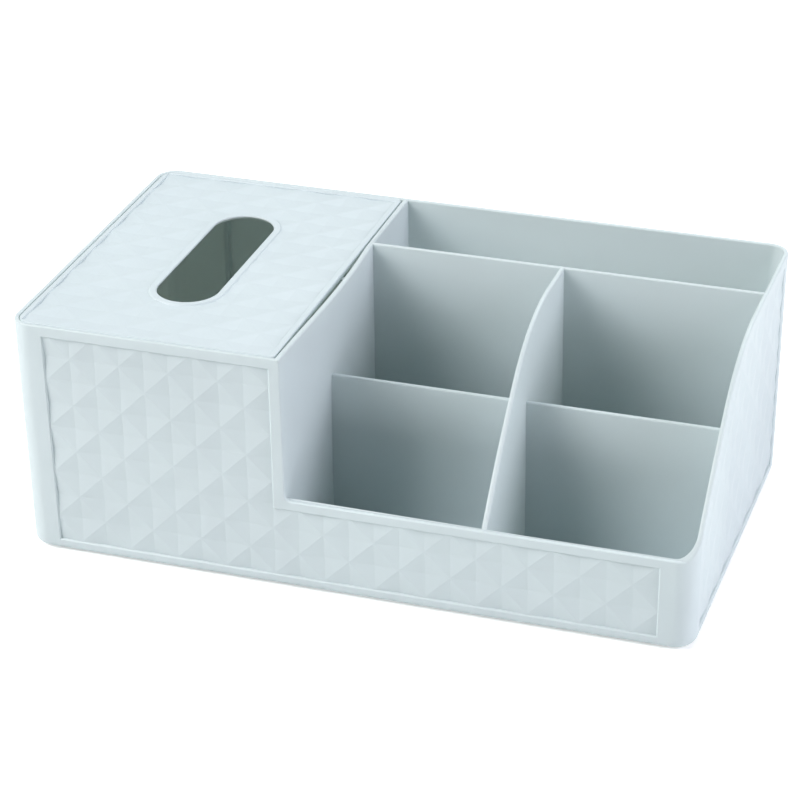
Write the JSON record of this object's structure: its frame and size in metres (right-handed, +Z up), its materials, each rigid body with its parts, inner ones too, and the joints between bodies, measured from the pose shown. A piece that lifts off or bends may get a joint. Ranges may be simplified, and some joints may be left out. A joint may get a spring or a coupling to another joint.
{
  "type": "makeup organizer",
  "caption": "Moulded desk organizer with open cells behind a stepped front and a tissue bay under a lift-off slotted lid.",
  "frame": {"origin": "middle of the footprint, on the surface that the foot pads stand on", "axes": "+X along the length from the tissue bay to the cells, +Y towards the back, +Z up"},
  "size_m": [0.3, 0.1724, 0.11],
  "materials": {
    "case_plastic": "satin moulded, pale icy blue",
    "lid_plastic": "satin moulded, pale icy blue",
    "pad_rubber": "matt, translucent grey"
  },
  "bodies": {
    "case": {"organizer_body": "case_plastic", "foot_pad_front_left": "pad_rubber", "foot_pad_front_right": "pad_rubber", "foot_pad_rear_right": "pad_rubber", "foot_pad_rear_left": "pad_rubber"},
    "lid": {"tissue_lid": "lid_plastic"}
  },
  "joints": [
    {"name": "lid_lift", "type": "slide", "parent": "case", "child": "lid", "axis": [0, 0, 1], "range_m": [0, 0.06]}
  ]
}
